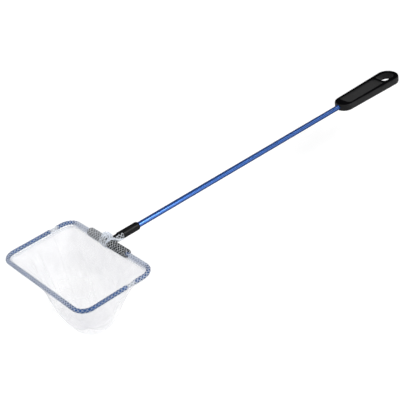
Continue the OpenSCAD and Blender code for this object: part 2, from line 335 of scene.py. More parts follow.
class Nodes:
    """Short calls that add nodes to a tree and join them."""

    # The Mix node repeats its socket names for each kind of data, so its colour sockets go by number
    MIX_SHARE, MIX_FIRST, MIX_SECOND, MIX_RESULT = 0, 6, 7, 2

    def __init__(self, tree: bpy.types.NodeTree) -> None:
        """Keeps the tree."""
        self.tree = tree

    def add(
        self, kind: str, values: dict[str | int, object] | None = None, **settings: object
    ) -> bpy.types.Node:
        """Adds a node, sets its properties, and sets or links its inputs.

        Args:
            kind: the node's type, without its ShaderNode prefix.
            values: input name or number to a value or to an output that feeds it.
            settings: properties of the node.

        Returns:
            The node.
        """
        node = self.tree.nodes.new("ShaderNode" + kind)
        for key, value in settings.items():
            setattr(node, key, value)
        for key, value in (values or {}).items():
            self.feed(node.inputs[key], value)
        return node

    def feed(self, socket: Socket, value: object) -> None:
        """Links an output to an input, or sets the input's own value.

        Args:
            socket: the input.
            value: the output or the value.
        """
        if isinstance(value, Socket):
            self.tree.links.new(value, socket)
        else:
            socket.default_value = value

    def math(self, operation: str, *values: object, clamp: bool = False) -> Socket:
        """The result of a Math node on up to three values."""
        node = self.add("Math", dict(enumerate(values)), operation=operation, use_clamp=clamp)
        return node.outputs[0]

    def between(self, value: object, low: float, high: float, start: float, end: float) -> Socket:
        """A value mapped smoothly from one range to another.

        Args:
            value: the value.
            low: where it gives start.
            high: where it gives end.
            start: result at low and below.
            end: result at high and above.

        Returns:
            The result.
        """
        node = self.add(
            "MapRange",
            {"Value": value, "From Min": low, "From Max": high, "To Min": start, "To Max": end},
            interpolation_type="SMOOTHSTEP",
        )
        return node.outputs["Result"]

    def mix(self, share: object, first: object, second: object) -> Socket:
        """A mix of two colours.

        Args:
            share: how much of the second.
            first: the colour at 0.
            second: the colour at 1.

        Returns:
            The mixed colour.
        """
        values = {self.MIX_SHARE: share, self.MIX_FIRST: first, self.MIX_SECOND: second}
        node = self.add("Mix", data_type="RGBA")
        for key, value in values.items():
            self.feed(node.inputs[key], value)
        return node.outputs[self.MIX_RESULT]

    def bump(self, height: Socket, strength: float, distance: float) -> Socket:
        """The normal of a surface that is raised by a height, by so many millimetres at most."""
        values = {"Height": height, "Strength": strength, "Distance": distance * MM}
        return self.add("Bump", values).outputs[0]


def grouped(
    name: str, inputs: dict[str, tuple[str, object]], outputs: tuple[str, ...]
) -> tuple[Nodes, dict[str, Socket], bpy.types.Node]:
    """Starts a shader node group with named inputs and outputs.

    Args:
        name: the group's name.
        inputs: input name to its socket type and default.
        outputs: names of its outputs, which are all numbers.

    Returns:
        The group's nodes, its inputs by name as outputs to link from, and its output node.
    """
    tree = bpy.data.node_groups.new(name, "ShaderNodeTree")
    for key, (kind, default) in inputs.items():
        socket = tree.interface.new_socket(key, in_out="INPUT", socket_type="NodeSocket" + kind)
        if default is not None:
            socket.default_value = default
    for key in outputs:
        tree.interface.new_socket(key, in_out="OUTPUT", socket_type="NodeSocketFloat")
    nodes = Nodes(tree)
    entry, leave = tree.nodes.new("NodeGroupInput"), tree.nodes.new("NodeGroupOutput")
    return nodes, {s.name: s for s in entry.outputs if s.name}, leave


def lattice_group(softness: float = 0.22, wander_scale: float = 160.0) -> bpy.types.NodeTree:
    """Diagonal net: threads where either of two slanting triangle waves peaks.

    The group's inputs are the place in metres, the pitch of the threads, their share of the pitch and how
    far they wander. Its outputs are 1 on a thread and 0 in a hole, and the same as a rounded height.

    Args:
        softness: how much of the wave's height a thread's edge takes.
        wander_scale: scale of the noise that the threads wander by.

    Returns:
        The group.
    """
    nodes, inp, out = grouped(
        "net_lattice",
        {
            "Place": ("Vector", None),
            "Pitch": ("Float", 0.001),
            "Thread": ("Float", 0.4),
            "Wander": ("Float", 0.1),
        },
        ("Thread", "Height"),
    )
    noise = {"Vector": inp["Place"], "Scale": wander_scale, "Detail": 2.0}
    wander = nodes.add("TexNoise", noise, noise_dimensions="3D")
    shift = nodes.math("MULTIPLY", nodes.math("SUBTRACT", wander.outputs["Fac"], 0.5), inp["Wander"])
    axes = nodes.add("SeparateXYZ", {0: inp["Place"]}).outputs
    waves = []
    for operation in ("ADD", "SUBTRACT"):
        slant = nodes.math("DIVIDE", nodes.math(operation, axes["X"], axes["Y"]), inp["Pitch"])
        turn = nodes.math("FRACT", nodes.math("ADD", slant, shift))
        waves.append(nodes.math("MULTIPLY", nodes.math("ABSOLUTE", nodes.math("SUBTRACT", turn, 0.5)), 2.0))
    peak = nodes.math("MAXIMUM", *waves)
    edge = nodes.math("SUBTRACT", 1.0, inp["Thread"])
    mask = nodes.math("DIVIDE", nodes.math("SUBTRACT", peak, edge), softness, clamp=True)
    nodes.feed(out.inputs["Thread"], mask)
    nodes.feed(out.inputs["Height"], nodes.math("MULTIPLY", mask, peak))
    return nodes.tree


def grain_group() -> bpy.types.NodeTree:
    """Fine unevenness of a moulded or drawn surface: two noises, one fine and one broad.

    The group's inputs are the place and the two scales. Its outputs are a fine height and a broad tone,
    both 0 to 1.

    Returns:
        The group.
    """
    nodes, inp, out = grouped(
        "surface_grain",
        {"Place": ("Vector", None), "Fine": ("Float", 4000.0), "Broad": ("Float", 60.0)},
        ("Height", "Tone"),
    )
    fine = nodes.add("TexNoise", {"Vector": inp["Place"], "Scale": inp["Fine"], "Detail": 3.0})
    rough = {"Vector": inp["Place"], "Scale": inp["Broad"], "Detail": 4.0, "Roughness": 0.6}
    broad = nodes.add("TexNoise", rough)
    nodes.feed(out.inputs["Height"], fine.outputs["Fac"])
    nodes.feed(out.inputs["Tone"], broad.outputs["Fac"])
    return nodes.tree


LATTICE = lattice_group()
GRAIN = grain_group()


def rgb(red: float, green: float, blue: float) -> Colour:
    """A linear colour with full alpha."""
    return (red, green, blue, 1.0)


def principled(name: str) -> tuple[Material, Nodes, bpy.types.Node]:
    """A new material.

    Args:
        name: its name.

    Returns:
        The material, its nodes and its Principled BSDF.
    """
    material = bpy.data.materials.new(name)
    material.use_nodes = True
    nodes = Nodes(material.node_tree)
    return material, nodes, material.node_tree.nodes["Principled BSDF"]


@dataclass(frozen=True)
class GrainFinish:
    """A plastic or metal surface with grain: colour, gloss and bump vary with the grain.

    stretch scales the place on each axis, so that drawn metal gets long lines. Towards the outline the
    surface turns to the edge colour and loses its gloss, over the range of facing in edge_range: this is
    painted shade, a dark edge for the dark reflections and shade at the sides of a rounded piece; metal
    keeps a share of its metallic look there. Above and below the heights in raised, in metres from the
    piece's middle plane, the surface turns to the same edge colour and loses its gloss: painted shade on the
    raised rims. tones is the range of the broad noise that takes the colour from dark to light, and
    bump_height is in millimetres.
    """

    name: str
    dark: Colour
    light: Colour
    rough: Pair
    metallic: float = 0.0
    metal_left: float = 0.1
    coat: float = 0.0
    specular: float = 0.5
    bump: float = 0.1
    bump_height: float = 0.05
    fine: float = 4000.0
    broad: float = 60.0
    stretch: Triple = (1.0, 1.0, 1.0)
    # Painted shade: the dark colour taken towards the outline and on raised rims
    edge: Colour = (0.003, 0.003, 0.0035, 1.0)
    edge_range: Pair = (0.5, 0.85)
    raised: Pair | None = None
    tones: Pair = (0.3, 0.7)

    def build(self) -> Material:
        """Makes the material.

        Returns:
            The material.
        """
        material, nodes, shader = principled(self.name)
        spot = nodes.add("TexCoord").outputs["Object"]
        place = nodes.add("Mapping", {"Vector": spot, "Scale": self.stretch}).outputs[0]
        grain = nodes.add("Group", node_tree=GRAIN)
        for key, value in {"Place": place, "Fine": self.fine, "Broad": self.broad}.items():
            nodes.feed(grain.inputs[key], value)
        tone = nodes.between(grain.outputs["Tone"], *self.tones, 0.0, 1.0)
        facing = nodes.add("LayerWeight").outputs["Facing"]
        body = nodes.mix(tone, self.dark, self.light)
        # Painted shade: rim grows towards the outline and on raised rims, where the colour turns to the edge
        # colour and the gloss goes
        rim = nodes.between(facing, *self.edge_range, 0.0, 1.0)
        if self.raised:
            height = nodes.math("ABSOLUTE", nodes.add("SeparateXYZ", {0: spot}).outputs["Z"])
            rim = nodes.math("MAXIMUM", rim, nodes.between(height, *self.raised, 0.0, 1.0))
        nodes.feed(shader.inputs["Base Color"], nodes.mix(rim, body, self.edge))
        nodes.feed(shader.inputs["Roughness"], nodes.between(grain.outputs["Tone"], *self.tones, *self.rough))
        nodes.feed(shader.inputs["Normal"], nodes.bump(grain.outputs["Height"], self.bump, self.bump_height))
        for key, value, left in (
            ("Metallic", self.metallic, self.metal_left),
            ("Coat Weight", self.coat, 0.0),
            ("Specular IOR Level", self.specular, 0.0),
        ):
            if value:
                nodes.feed(shader.inputs[key], nodes.between(rim, 0.0, 1.0, value, value * left))
        return material


@dataclass(frozen=True)
class NetFinish:
    """White mesh cloth: a net of fine threads, and the coarser net that two layers make together.

    hole and thread are the shares that those hide, coarse is what the coarser net's threads add, and the
    piece's own cover attribute is added to all. through is the share of light that the cloth lets through.
    graze is what a slanting look adds, over the range of facing in slant, where cover passes graze_cover.
    tones and gloss_tones are the ranges of an uneven noise that take the colour from dark to light and the
    roughness over its range, and bump_height is in millimetres.
    """

    name: str
    hole: float
    thread: float
    pitch: float = 0.8 * MM
    fine_thread: float = 0.3
    coarse: float = 0.0
    coarse_pitch: float = 4.15 * MM
    coarse_thread: float = 0.29
    wander: float = 0.5
    through: float = 0.5
    graze: float = 0.0
    slant: Pair = (0.4, 0.9)
    graze_cover: Pair = (0.15, 0.35)
    tones: Pair = (0.35, 0.65)
    gloss_tones: Pair = (0.3, 0.7)
    rough: Pair = (0.62, 0.8)
    specular: float = 0.1
    bump: float = 0.3
    bump_height: float = 0.15
    light: Colour = rgb(0.90, 0.93, 0.97)
    dark: Colour = rgb(0.82, 0.855, 0.91)

    def build(self) -> Material:
        """Makes the material.

        Returns:
            The material.
        """
        material, nodes, shader = principled(self.name)
        place = nodes.add("UVMap", uv_map="UVMap").outputs[0]
        fine = self.lattice(nodes, place, self.pitch, self.fine_thread)
        alpha = self.alpha(nodes, place, fine.outputs["Thread"])
        uneven = nodes.add("TexNoise", {"Vector": place, "Scale": 70.0, "Detail": 4.0}).outputs["Fac"]
        colour = nodes.mix(nodes.between(uneven, *self.tones, 0.0, 1.0), self.dark, self.light)
        nodes.feed(shader.inputs["Base Color"], colour)
        nodes.feed(shader.inputs["Roughness"], nodes.between(uneven, *self.gloss_tones, *self.rough))
        nodes.feed(shader.inputs["Normal"], nodes.bump(fine.outputs["Height"], self.bump, self.bump_height))
        shader.inputs["Specular IOR Level"].default_value = self.specular
        glow = nodes.add("BsdfTranslucent", {"Color": colour})
        cloth = nodes.add("MixShader", {0: self.through, 1: shader.outputs[0], 2: glow.outputs[0]})
        clear = nodes.add("BsdfTransparent")
        seen = nodes.add("MixShader", {0: alpha, 1: clear.outputs[0], 2: cloth.outputs[0]})
        nodes.feed(material.node_tree.nodes["Material Output"].inputs["Surface"], seen.outputs[0])
        return material

    def alpha(self, nodes: Nodes, place: Socket, fine: Socket) -> Socket:
        """The share that the cloth hides.

        Args:
            nodes: the material's nodes.
            place: the UV place.
            fine: the fine net's thread mask.

        Returns:
            The share, 0 to 1.
        """
        cover = nodes.add("Attribute", attribute_name="cover", attribute_type="GEOMETRY").outputs["Fac"]
        alpha = nodes.between(fine, 0.0, 1.0, self.hole, self.thread)
        if self.coarse:
            coarse = self.lattice(nodes, place, self.coarse_pitch, self.coarse_thread)
            alpha = nodes.math("MULTIPLY_ADD", coarse.outputs["Thread"], self.coarse, alpha)
        if self.graze:
            facing = nodes.add("LayerWeight").outputs["Facing"]
            slanting = nodes.between(facing, *self.slant, 0.0, self.graze)
            thick = nodes.between(cover, *self.graze_cover, 0.0, 1.0)
            alpha = nodes.math("MULTIPLY_ADD", slanting, thick, alpha)
        return nodes.math("ADD", alpha, cover, clamp=True)

    def lattice(self, nodes: Nodes, place: Socket, pitch: float, thread: float) -> bpy.types.Node:
        """Places the net group.

        Args:
            nodes: the material's nodes.
            place: the UV place.
            pitch: the threads' pitch in metres.
            thread: the threads' share of the pitch.

        Returns:
            The group's node.
        """
        group = nodes.add("Group", node_tree=LATTICE)
        for key, value in {"Place": place, "Pitch": pitch, "Thread": thread, "Wander": self.wander}.items():
            nodes.feed(group.inputs[key], value)
        return group


@dataclass(frozen=True)
class ThreadFinish:
    """Twisted white sewing thread, with a slanting ridge for each turn of the twist.

    slant turns the ridges about each axis, in radians, and bump_height is in millimetres. The colour is
    painted darker where the ridges are low: painted shade in the grooves of the twist.
    """

    name: str = "sewing_thread"
    dark: Colour = rgb(0.84, 0.86, 0.92)
    light: Colour = rgb(0.95, 0.96, 0.98)
    rough: Pair = (0.7, 0.5)
    slant: Triple = (0.6, 0.4, 0.8)
    bump: float = 0.3
    bump_height: float = 0.1

    def build(self) -> Material:
        """Makes the material.

        Returns:
            The material.
        """
        material, nodes, shader = principled(self.name)
        place = nodes.add("TexCoord").outputs["Object"]
        turn = nodes.add("Mapping", {"Vector": place, "Rotation": self.slant}).outputs[0]
        twist = nodes.add("TexWave", {"Vector": turn, "Scale": 900.0, "Distortion": 1.5}).outputs["Fac"]
        # Painted shade: darker in the grooves, where the twist wave is low
        nodes.feed(shader.inputs["Base Color"], nodes.mix(twist, self.dark, self.light))
        nodes.feed(shader.inputs["Roughness"], nodes.between(twist, 0.0, 1.0, *self.rough))
        nodes.feed(shader.inputs["Normal"], nodes.bump(twist, self.bump, self.bump_height))
        return material


@dataclass(frozen=True)
class FloorFinish:
    """Pale floor that the camera sees as white but that still takes the net's shadow.

    lift is the light that only seen rays get, and it grows over the distances in far from the middle.
    """

    name: str = "pale_floor"
    colour: Colour = rgb(0.80, 0.80, 0.80)
    darker: Colour = rgb(0.788, 0.788, 0.788)
    rough: float = 0.9
    lift: Pair = (0.27, 0.85)
    far: Pair = (0.5, 1.4)
    middle: Triple = (-0.3, 0.0, 0.0)

    def build(self) -> Material:
        """Makes the material: diffuse, with the lift as emission.

        Returns:
            The material.
        """
        material, nodes, shader = principled(self.name)
        place = nodes.add("TexCoord").outputs["Object"]
        mottle = nodes.add("TexNoise", {"Vector": place, "Scale": 3.0, "Detail": 3.0}).outputs["Fac"]
        nodes.feed(shader.inputs["Base Color"], nodes.mix(mottle, self.darker, self.colour))
        shader.inputs["Roughness"].default_value = self.rough
        shader.inputs["Specular IOR Level"].default_value = 0.0
        shader.inputs["Emission Color"].default_value = rgb(1, 1, 1)
        away = nodes.add("VectorMath", {0: place, 1: self.middle}, operation="DISTANCE").outputs["Value"]
        lift = nodes.between(away, *self.far, *self.lift)
        nodes.feed(shader.inputs["Emission Strength"], seen_rays(nodes, lift))
        return material


def seen_rays(nodes: Nodes, strength: object) -> Socket:
    """A strength that only some rays get: those from the camera, from gloss or through glass.

    Args:
        nodes: nodes of the material or the world.
        strength: the strength, as a value or an output.

    Returns:
        The strength for those rays, and 0 for others.
    """
    path = nodes.add("LightPath").outputs
    indirect = nodes.math("MAXIMUM", path["Is Glossy Ray"], path["Is Transmission Ray"])
    seen = nodes.math("MAXIMUM", path["Is Camera Ray"], indirect)
    return nodes.math("MULTIPLY", seen, strength)


# Painted shade: the coupler and the T turn near black towards their outline
GLOSS_PLASTIC = GrainFinish(
    "gloss_plastic", rgb(0.004, 0.004, 0.0045), rgb(0.007, 0.007, 0.0075), (0.20, 0.28),
    specular=0.13, edge_range=(0.2, 0.6),
)
# Painted shade: the grip turns near black towards its outline and on its raised rims, with no gloss there
SATIN_PLASTIC = GrainFinish(
    "satin_plastic", rgb(0.006, 0.006, 0.0065), rgb(0.014, 0.014, 0.0145), (0.38, 0.5),
    bump=0.25, specular=0.12, edge_range=(0.55, 0.85), raised=(4.1 * MM, 4.5 * MM),
)
# Painted shade: the tube turns navy towards its outline
BLUE_ANODISED = GrainFinish(
    "blue_anodised", rgb(0.028, 0.124, 0.44), rgb(0.040, 0.147, 0.50), (0.13, 0.20),
    metallic=0.85, coat=0.8, bump=0.15, fine=3000.0, broad=200.0, stretch=(0.03, 1.0, 1.0),
    edge=rgb(0.004, 0.022, 0.12), edge_range=(0.15, 0.5),
)
# Painted shade: the wire turns near black towards its outline
DRAWN_STEEL = GrainFinish(
    "drawn_steel", rgb(0.42, 0.43, 0.45), rgb(0.60, 0.61, 0.63), (0.28, 0.42), metallic=1.0, bump=0.2
)
# Painted shade: the sleeves turn dark navy towards their outline
BLUE_VINYL = GrainFinish(
    "blue_vinyl", rgb(0.008, 0.060, 0.20), rgb(0.014, 0.082, 0.26), (0.3, 0.42),
    coat=0.1, specular=0.2, edge=rgb(0.005, 0.022, 0.085), edge_range=(0.3, 0.75),
)
CASING_NET = NetFinish("casing_net", 0.0, 0.04, coarse=1.0, graze=0.6)
BAG_NET = NetFinish("bag_net", 0.42, 0.72, light=rgb(0.84, 0.84, 0.865), dark=rgb(0.78, 0.78, 0.81))


# Pieces


def place_piece(piece: Piece, material: Material, slot: Slot, *nodes: str) -> Piece:
    """Dresses a piece and lets it ride on the body.

    Args:
        piece: the piece.
        material: its finish.
        slot: the record's slot for it; not used.
        nodes: CAD nodes that it stands for.

    Returns:
        The piece.
    """
    piece.data.materials.append(material)
    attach(piece, BODY)
    if nodes:
        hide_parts(*nodes)
    LOG.info("%s: %d faces", piece.name, len(piece.data.polygons))
    return piece


def dress_nodes(finish: GrainFinish, *names: str) -> None:
    """Gives CAD nodes that stay in view their finish.

    Args:
        finish: the finish.
        names: the nodes.
    """
    material = finish.build()
    for name in names:
        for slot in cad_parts[name].material_slots:
            slot.material = material
        LOG.info("%s: carried over", name)


@dataclass
class Hoop:
    """The wire's path: a rounded rectangle, walked from the rear side's middle towards +Y and round."""

    width: float = 152.0
    length: float = 92.0
    corner_r: float = 14.0
    fineness: int = 400

    def __post_init__(self) -> None:
        """Works out the path's points, outward directions and distances once, as whole arrays.

        The straight sides are joined by quarter circles: point = corner's centre + radius * direction.
        """
        half, r = self.width / 2, self.corner_r
        front = r - self.length
        centre_x = np.array([[-r], [front], [front], [-r]])
        centre_y = np.array([[half - r], [half - r], [r - half], [r - half]])
        quarter = math.pi / 2
        angle = np.linspace(0, quarter, self.fineness) + quarter * np.arange(4)[:, None]
        self.x = np.concatenate([[0], (centre_x + r * np.cos(angle)).ravel(), [0]])
        self.y = np.concatenate([[0], (centre_y + r * np.sin(angle)).ravel(), [0]])
        self.angle = np.concatenate([[0], angle.ravel(), [TURN]])
        self.s = np.concatenate([[0], np.cumsum(np.hypot(np.diff(self.x), np.diff(self.y)))])

    @property
    def total(self) -> float:
        """Length of the whole path."""
        return float(self.s[-1])

    @property
    def middle_x(self) -> float:
        """Where the middle of the hoop lies along the tube's line."""
        return REAR_X - self.length / 2

    def side_s(self, from_rear: float, left: bool) -> float:
        """Distance along the path of the place on a side that lies so far in front of the rear wire."""
        at = self.width / 2 - self.corner_r + self.corner_r * math.pi / 2 + from_rear - self.corner_r
        return at if left else self.total - at

    def at(self, s: np.ndarray) -> tuple[np.ndarray, np.ndarray]:
        """Points on the wire's centre line and the outward directions there.

        Args:
            s: distances along the path; between the worked out points it goes straight.

        Returns:
            (n, 3) points and (n, 3) directions.
        """
        s = np.asarray(s, float)
        angle = np.interp(s, self.s, self.angle)
        x, y = np.interp(s, self.s, self.x), np.interp(s, self.s, self.y)
        points = np.stack([REAR_X + x, HOOP_Y + y, 0 * s], -1)
        return points, np.stack([np.cos(angle), np.sin(angle), 0 * s], -1)


@dataclass
class Sizes:
    """Sizes that several pieces share, in millimetres, as the CAD has them.

    The gaps are the bare wire between the sleeves on the left and right side, in front of the rear wire.
    The casings over the T's arms start stem_gap from its middle.
    """

    hem_r: float = 2.6
    arm_hem_r: float = 5.25
    arm_half: float = 33.5
    arm_taper: float = 4.0
    band_depth: float = 5.8
    band_in: float = 2.6
    band_out: float = 1.75
    seam_x: float = 28.0
    stem_gap: float = 5.2
    left_gap: Pair = (20.0, 30.0)
    right_gap: Pair = (26.0, 36.0)
    stitch_z: float = -4.2


@dataclass
class HemCasing:
    """The strip of mesh that is folded round the sleeves and the T's arms and sewn into a band below.

    The casing narrows from arm_ease before an arm's end. It draws in by bare_shrink over bare wire, and
    bare_ease says how far outside and inside a gap's ends that begins and is complete. The band reaches at
    least band_below under the circle, and its outer layer goes up to neck_drop under the wire, or to
    neck_lap under the place where a wide circle crosses it. hem_gap is the cloth that closes the section.
    cover_at is the share of the sleeve that the casing hides, at places along the hoop from the rear middle
    round by +Y. band_cover is that of the band, which begins over the depths in band_top and the inward
    distances in band_side.
    """

    hoop: Hoop
    sizes: Sizes
    rings_per_mm: float = 1.6
    round_points: int = 34
    side_points: int = 6
    start_angle: float = math.radians(-104)
    arm_ease: float = 0.6
    bare_shrink: float = 0.8
    bare_ease: Pair = (0.5, 2.5)
    band_below: float = 0.7
    neck_drop: float = 3.9
    neck_lap: float = 0.1
    hem_gap: float = 0.9
    creases: tuple[Ripple, ...] = (Ripple(0.10, 1.3, 0.8, 9, 4), Ripple(0.05, 4.0, 1.0, 6, 8))
    band_cover: float = -0.6
    band_top: Pair = (2.6, 3.9)
    band_side: Pair = (1.0, 1.7)
    cover_at: tuple[Pair, ...] = (
        (0, 0.30), (20, 0.30), (40, 0.28), (42, 0.74), (62, 0.70), (70, 0.00), (88, -0.08), (90, 0.50),
        (99, 0.50), (101, -0.14), (127, -0.10), (150, 0.02), (170, 0.28), (205, 0.42), (260, 0.38),
        (283, 0.24), (296, -0.08), (306, -0.38), (322, -0.36), (335, -0.27), (356, -0.16), (359, 0.50),
        (367, 0.50), (370, 0.06), (387, 0.04), (395, 0.16), (402, 0.62), (428, 0.60), (430, -0.06),
        (464, -0.06),
    )

    def radius(self, s: np.ndarray) -> np.ndarray:
        """Radius of the casing: wide over the T's arms, narrow over bare wire, else just over the sleeve.

        Args:
            s: distances along the hoop.

        Returns:
            The radius at each.
        """
        z = self.sizes
        from_stem = np.minimum(s + HOOP_Y, self.hoop.total - s - HOOP_Y)
        wide = 1 - ramp(from_stem, z.arm_half - self.arm_ease, z.arm_half + z.arm_taper)
        before, after = self.bare_ease
        r = z.hem_r + (z.arm_hem_r - z.hem_r) * wide
        for gap, left in ((z.left_gap, True), (z.right_gap, False)):
            a, b = sorted(self.hoop.side_s(end, left) for end in gap)
            bare = hump(s, (a - before, a + after), (b - after, b + before))
            r = r - self.bare_shrink * bare
        return r

    def section(self, r: np.ndarray) -> np.ndarray:
        """A fold: down the band's outer layer, round the sleeve in a circle, and down its inner layer.

        Args:
            r: the circle's radius for each ring.

        Returns:
            (rings, points, 2) places, outward and up from the wire.
        """
        z, side = self.sizes, self.side_points
        low = -np.maximum(z.band_depth, r + self.band_below)
        neck = -np.maximum(self.neck_drop, np.sqrt(r**2 - z.band_out**2) + self.neck_lap)
        reach = np.hypot(z.band_in, low)
        tangent = np.arctan2(low, -z.band_in) + TURN - np.arccos(r / reach)
        share = np.linspace(0, 1, self.round_points)
        turn = self.start_angle + (tangent - self.start_angle)[:, None] * share
        circle = np.stack([r[:, None] * np.cos(turn), r[:, None] * np.sin(turn)], -1)
        fall = low[:, None] + (neck - low)[:, None] * np.linspace(0, 1, side)
        outer = np.stack([np.full_like(fall, -z.band_out), fall], -1)
        foot = np.stack([np.full_like(r, -z.band_in), low], -1)[:, None]
        inner = circle[:, -1:] + (foot - circle[:, -1:]) * np.linspace(1 / side, 1, side)[None, :, None]
        return np.concatenate([outer, circle, inner], axis=1)

    def build(self, name: str, start: float, end: float, node: str, material: Material) -> Piece:
        """One casing from one distance along the hoop to another: the fold carried along the wire.

        Args:
            name: the piece's name.
            start: where it starts, in millimetres along the hoop.
            end: where it ends.
            node: the CAD node that it stands for.
            material: its finish.

        Returns:
            The piece.
        """
        s = np.linspace(start, end, int((end - start) * self.rings_per_mm) + 2)
        centre, out = self.hoop.at(s)
        section = self.section(self.radius(s))
        points = section_along(centre, out, np.tile([0.0, 0.0, 1.0], (len(s), 1)), section)
        v = lengths(section, 1)
        along = s[:, None]
        crease = sum(ripple.at(along, v / MM) for ripple in self.creases)
        points = points + unit(points - centre[:, None]) * crease[..., None]
        v = np.concatenate([v, v[:, -1:] + self.hem_gap * MM], axis=1)
        uv = np.stack([np.broadcast_to(along * MM, v.shape), v], -1)
        band = ramp(-section[..., 1], *self.band_top) * ramp(-section[..., 0], *self.band_side)
        key, value = np.array(self.cover_at).T
        cover = np.interp(s, key, value)[:, None] * (1 - band) + self.band_cover * band
        return place_piece(surface(name, points, uv, OPEN_ROUND, cover), material, Slot.MESH, node)


@dataclass
class MeshBag:
    """The bag: a rim like the hoop that rounds off to an oval, narrows to a low point and hangs in folds.

    half_a, half_b and rim_r are the half sizes and corner radius of the solid's rim, inset is how far the
    cloth lies inside it, and sway how far the foot lies towards +Y. Heights are shares of the depth, from 0
    at the rim to 1 at the foot, and over about the height round_off the rim turns into an oval.

    softs holds the ripples of the soft folds, over the distance round the bag at its mean radius and the
    height; over the angles from join_phi they are mixed with their own start. creases holds (angle, lean,
    width, rise) of sharp upright folds, whose angle moves by lean over the depth and is met at the height
    lean_from. bulges holds (angle, half angle, height, half height, rise) of broad dents and swellings; a
    rise below 0 goes inwards. Each kind comes in and fades over the two ranges of heights in its fade.

    The cloth hides base_cover more than its finish says, less by middle_thin past the heights in
    middle_range, and more by foot_thick past those in foot_range. On the side towards near_phi it hides
    less by near_thin, over the cosines in near_range. What starts with roll belongs to the rolled seam.
    """

    hoop: Hoop
    sizes: Sizes
    half_a: float = 44.55
    half_b: float = 74.55
    rim_r: float = 12.55
    inset: float = 0.7
    top_z: float = -6.1
    depth: float = 89.9
    sway: float = 10.0
    round_off: float = 0.17
    power: float = 0.48
    rings: int = 90
    tuck: float = 3.0
    tuck_rings: int = 3
    mean_r: float = 55.0
    join_phi: float = 4.95
    lean_from: float = 0.3
    base_cover: float = 0.10
    middle_thin: float = 0.22
    middle_range: Pair = (0.32, 0.55)
    foot_thick: float = 0.20
    foot_range: Pair = (0.74, 0.95)
    near_phi: float = 4.08
    near_range: Pair = (0.2, 0.8)
    near_thin: float = 0.42
    mottle: Ripple = Ripple(0.04, 4.0, 5.0, 6, 3)
    roll_inward: float = 0.6
    roll_half: Pair = (0.32, 0.9)
    roll_end: float = 0.992
    roll_rings: int = 120
    roll_sides: int = 12
    roll_swell: float = 0.12
    roll_waves: float = 2.4
    roll_girth: float = 0.8
    roll_cover: float = -0.6
    soft_fade: tuple[Pair, Pair] = ((0.0, 0.35), (0.72, 1.0))
    sharp_fade: tuple[Pair, Pair] = ((0.02, 0.2), (0.55, 0.8))
    broad_fade: tuple[Pair, Pair] = ((0.0, 0.09), (0.9, 1.0))
    softs: tuple[Ripple, ...] = (Ripple(1.1, 1 / 9.0, 1.5, 7, 21), Ripple(0.5, 1 / 3.5, 3.0, 8, 5))
    creases: tuple[tuple[float, ...], ...] = (
        (1.72, 0.10, 2.4, -2.8), (1.86, 0.15, 2.0, 1.9), (2.02, 0.2, 2.6, -2.4), (2.3, -0.35, 2.2, 1.8),
        (0.9, 0.1, 3.0, -1.6), (5.0, -0.1, 3.0, 1.2), (5.6, 0.1, 2.4, -1.2), (3.4, 0.05, 3.5, 1.0),
    )
    bulges: tuple[tuple[float, ...], ...] = (
        (2.45, 0.55, 0.14, 0.14, -7.5), (2.35, 0.35, 0.40, 0.14, -4.0), (5.65, 0.55, 0.14, 0.14, -2.6),
        (5.4, 0.8, 0.35, 0.15, -2.0), (3.7, 0.6, 0.87, 0.10, 2.2), (5.4, 0.9, 0.82, 0.14, 3.4),
    )

    @property
    def seam_phi(self) -> float:
        """Angle round the bag of the seam between its panels."""
        return math.atan2(self.half_b, self.hoop.length / 2 - self.sizes.seam_x)

    def reach(self, phi: np.ndarray, t: np.ndarray) -> np.ndarray:
        """Distance from the bag's axis to its smooth wall.

        It is a round-cornered rectangle at the rim and an ellipse further down, mixed by an exponential of
        the height, and narrows by a power of what is left of the depth.

        Args:
            phi: angles round the bag.
            t: heights.

        Returns:
            The distance for each.
        """
        a, b, r = self.half_a - self.inset, self.half_b - self.inset, self.rim_r
        c, s = np.abs(np.cos(phi)), np.abs(np.sin(phi))
        px, py = a - r, b - r
        along, off = px * c + py * s, px * s - py * c
        corner = along + np.sqrt(np.maximum(r * r - off * off, 0))
        end = np.where(b * c <= px * s, b / np.maximum(s, TINY), corner)
        rim = np.where(a * s <= py * c, a / np.maximum(c, TINY), end)
        oval = 1 / np.hypot(c / a, s / b)
        down = np.maximum(t, 0)
        blend = 1 - np.exp(-down / self.round_off)
        return (rim * (1 - blend) + oval * blend) * np.maximum(1 - down, 0) ** self.power

    def soft_folds(self, phi: np.ndarray, t: np.ndarray) -> np.ndarray:
        """Soft upright folds: the sum of the ripples over the distance round the bag and the height."""
        return sum(ripple.at(phi * self.mean_r, t) for ripple in self.softs)

    def fold(self, phi: np.ndarray, t: np.ndarray) -> np.ndarray:
        """How far the cloth stands out or in: soft folds + creases + bulges, each faded at rim and foot.

        A crease is a bell curve of the distance round the bag, and a bulge one of the angle times one of the
        height. The mix with the soft folds' own start lets them close on themselves.

        Args:
            phi: angles round the bag.
            t: heights.

        Returns:
            The distance for each, outwards.
        """
        phi = np.mod(phi, TURN)
        again = ramp(phi, self.join_phi, TURN)
        soft = (1 - again) * self.soft_folds(phi, t) + again * self.soft_folds(phi - TURN, t)
        sharp = sum(
            rise * bell(apart(phi, place + lean * (t - self.lean_from)) * self.mean_r / width)
            for place, lean, width, rise in self.creases
        )
        broad = sum(
            rise * bell(apart(phi, place) / wide) * bell((t - low) / tall)
            for place, wide, low, tall, rise in self.bulges
        )
        soft, sharp = soft * hump(t, *self.soft_fade), sharp * hump(t, *self.sharp_fade)
        return soft + sharp + broad * hump(t, *self.broad_fade)

